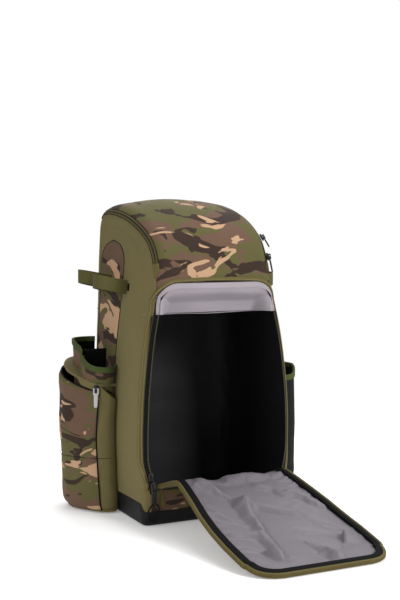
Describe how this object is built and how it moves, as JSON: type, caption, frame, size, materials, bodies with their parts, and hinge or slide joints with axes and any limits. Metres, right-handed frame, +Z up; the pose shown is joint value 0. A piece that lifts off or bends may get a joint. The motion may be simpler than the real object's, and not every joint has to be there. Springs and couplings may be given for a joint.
{
  "type": "backpack",
  "caption": "Upright bat backpack with a zipped hood, a front door folded down on the floor, bat sleeves with elastic loops on both sides and shoulder straps",
  "frame": {"origin": "middle of the base's underside, on the floor", "axes": "+X to the wearer's left of the bag seen from its front (the viewer's right), -Y out of the front opening, +Z up"},
  "size_m": [0.5182, 0.7097, 0.614],
  "materials": {
    "black_foam": "mesh over foam",
    "black_mesh": "open mesh",
    "black_plastic": "matte",
    "black_tape": "woven, matte",
    "camouflage_cloth": "woven, matte, printed",
    "coated_base": "coated, matte",
    "green_elastic": "ribbed, matte",
    "grey_lining": "woven, slight sheen",
    "grey_rubber": "matte",
    "gunmetal": "satin",
    "olive_cloth": "woven, matte",
    "olive_tape": "woven, matte",
    "olive_webbing": "woven, matte"
  },
  "bodies": {
    "root": {"back_pad": "black_foam", "back_panel": "olive_cloth", "base_tub": "coated_base", "bat_sleeve_left": "camouflage_cloth", "bat_sleeve_right": "camouflage_cloth", "bat_strap_left_front": "olive_webbing", "bat_strap_left_rear": "olive_webbing", "bat_strap_right_front": "olive_webbing", "bat_strap_right_rear": "olive_webbing", "bottle_binding_right": "green_elastic", "bottle_pocket_right": "black_mesh", "divider_panel": "grey_lining", "door_panel": "grey_lining", "door_pull_cord": "black_plastic", "door_pull_link": "gunmetal", "door_rim": "olive_tape", "door_slider_lower": "gunmetal", "door_slider_upper": "gunmetal", "front_sill": "camouflage_cloth", "haul_loop": "olive_webbing", "hood_panel": "camouflage_cloth", "hood_pull_lower": "gunmetal", "hood_pull_upper": "gunmetal", "hood_slider_lower": "gunmetal", "hood_slider_upper": "gunmetal", "hood_zipper": "olive_tape", "opening_binding": "olive_tape", "opening_zipper_tape": "black_tape", "pocket_face_left": "camouflage_cloth", "pocket_gusset_left": "olive_cloth", "pocket_pull_left": "grey_rubber", "pocket_slider_left": "gunmetal", "shoulder_strap_left": "black_foam", "shoulder_strap_right": "black_foam", "side_inset_left": "camouflage_cloth", "side_inset_right": "camouflage_cloth", "side_panel_left": "olive_cloth", "side_panel_right": "olive_cloth", "sleeve_binding_left": "green_elastic", "sleeve_binding_right": "green_elastic", "strap_buckle_left": "black_plastic", "strap_buckle_right": "black_plastic", "strap_webbing_left": "olive_webbing", "strap_webbing_right": "olive_webbing"}
  },
  "joints": []
}
